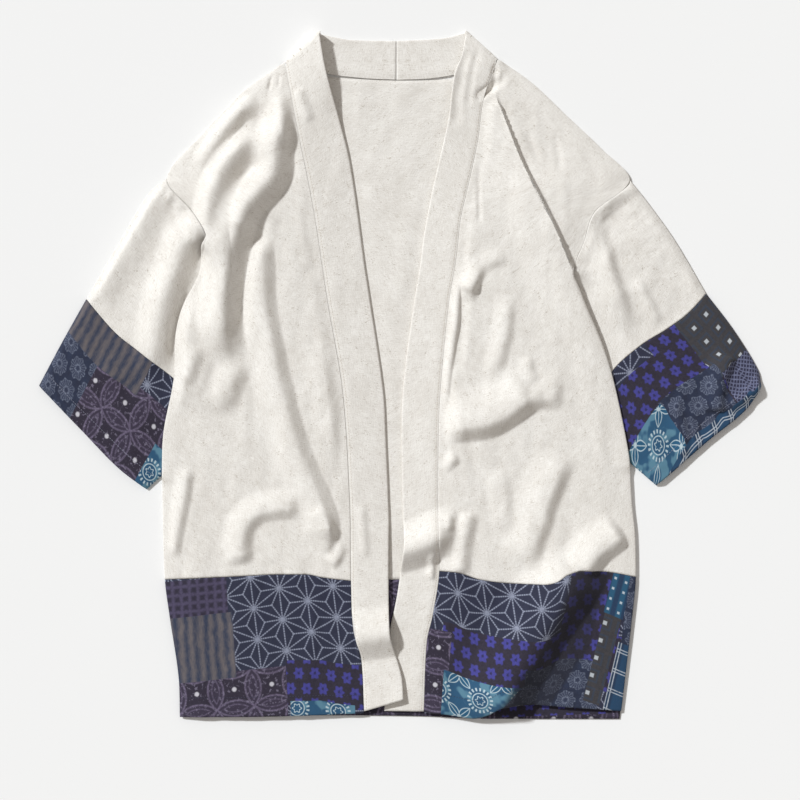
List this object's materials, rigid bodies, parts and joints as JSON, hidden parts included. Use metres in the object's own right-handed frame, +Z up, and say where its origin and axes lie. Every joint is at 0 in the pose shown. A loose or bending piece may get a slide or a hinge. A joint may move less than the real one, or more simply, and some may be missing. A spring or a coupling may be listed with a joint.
{
  "type": "haori",
  "caption": "Open-fronted short haori in off-white linen with a long collar band and printed indigo patchwork cuffs and hem, laid flat on its back",
  "frame": {"origin": "the middle of the whole garment's box, on the surface that it lies on", "axes": "+X to the wearer's left, from sleeve to sleeve; +Y from the hem to the neck; +Z up, out of the fronts"},
  "size_m": [0.8084, 0.7704, 0.0239],
  "materials": {
    "linen": "slub linen, plain weave, matt, with small thick threads and soft creases",
    "collar_linen": "the same slub linen folded double, topstitched beside its seam",
    "patchwork_print": "indigo cotton with printed patches of traditional patterns in navy, blue, teal and purple"
  },
  "bodies": {
    "root": {"back_panel": "linen", "back_hem_band": "patchwork_print", "front_right": "linen", "front_left": "linen", "front_right_hem_band": "patchwork_print", "front_left_hem_band": "patchwork_print", "sleeve_right": "linen", "sleeve_left": "linen", "cuff_right": "patchwork_print", "cuff_left": "patchwork_print", "collar_right": "collar_linen", "collar_left": "collar_linen"}
  },
  "joints": []
}
